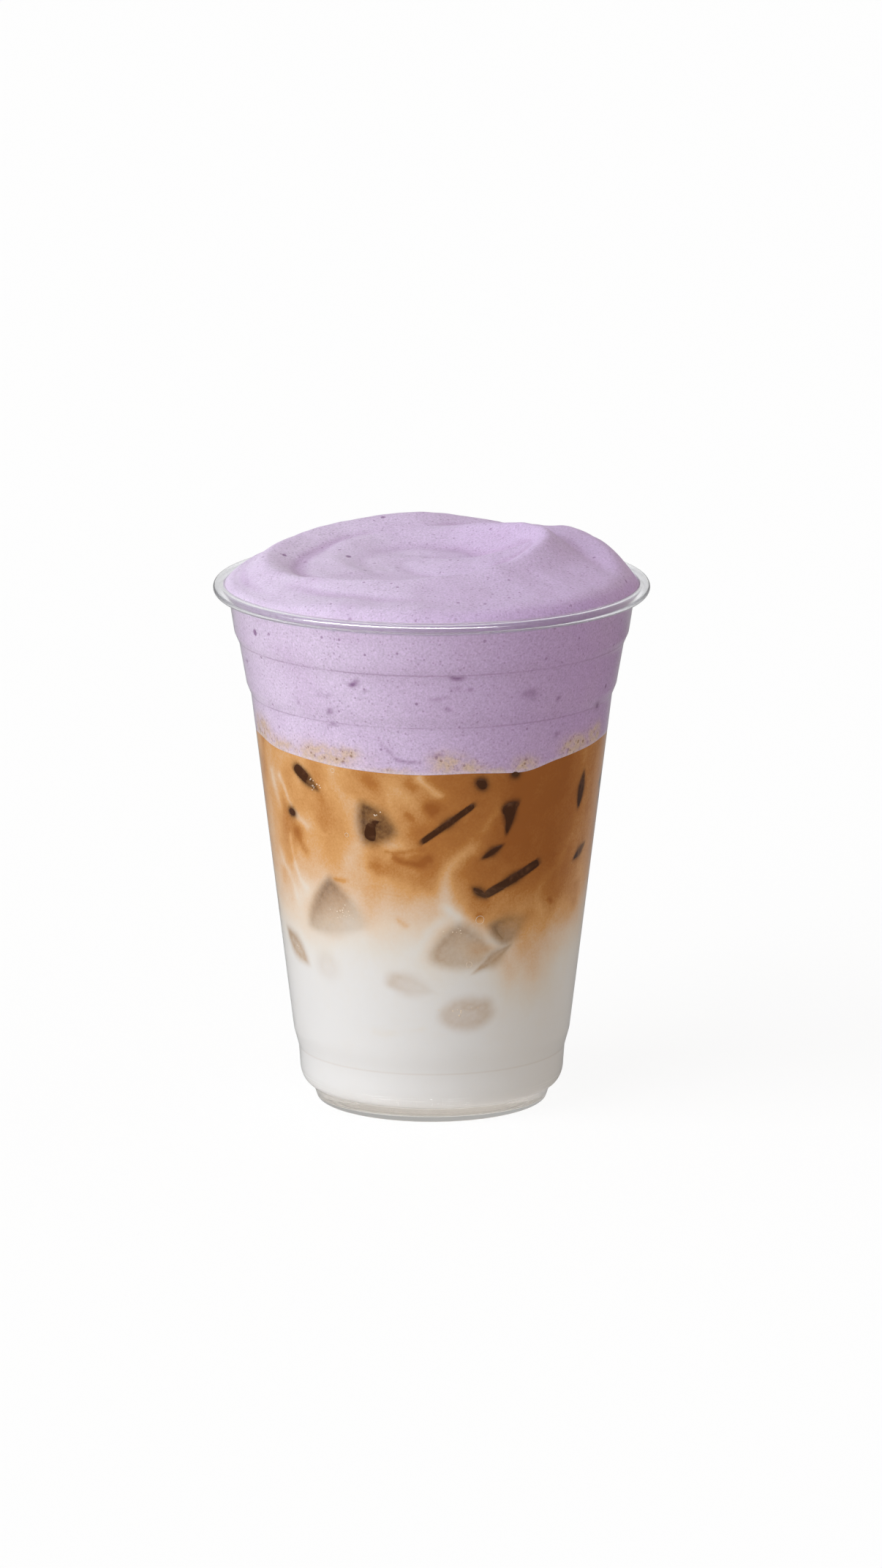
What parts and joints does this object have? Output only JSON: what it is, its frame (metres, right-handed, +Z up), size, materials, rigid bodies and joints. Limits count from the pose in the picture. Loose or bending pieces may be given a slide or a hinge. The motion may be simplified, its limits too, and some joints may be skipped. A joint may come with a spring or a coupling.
{
  "type": "layered iced taro milk tea in a clear cup",
  "caption": "Clear stepped plastic cup filled with milk, a band of brown tea and a thick lilac taro foam that is swirled to a peak above the rolled rim; stands on its foot ring.",
  "frame": {"origin": "middle of the foot ring's underside, where the cup stands", "axes": "+Z up along the cup's axis, -Y towards the side seen in the picture, +X to its right"},
  "size_m": [0.098, 0.098, 0.1298],
  "materials": {
    "clear_plastic": "clear gloss",
    "milk": "opaque liquid",
    "tea": "cloudy liquid",
    "foam": "matte, finely pored"
  },
  "bodies": {
    "root": {"cup": "clear_plastic", "milk": "milk", "tea": "tea", "taro_foam": "foam"}
  },
  "joints": []
}
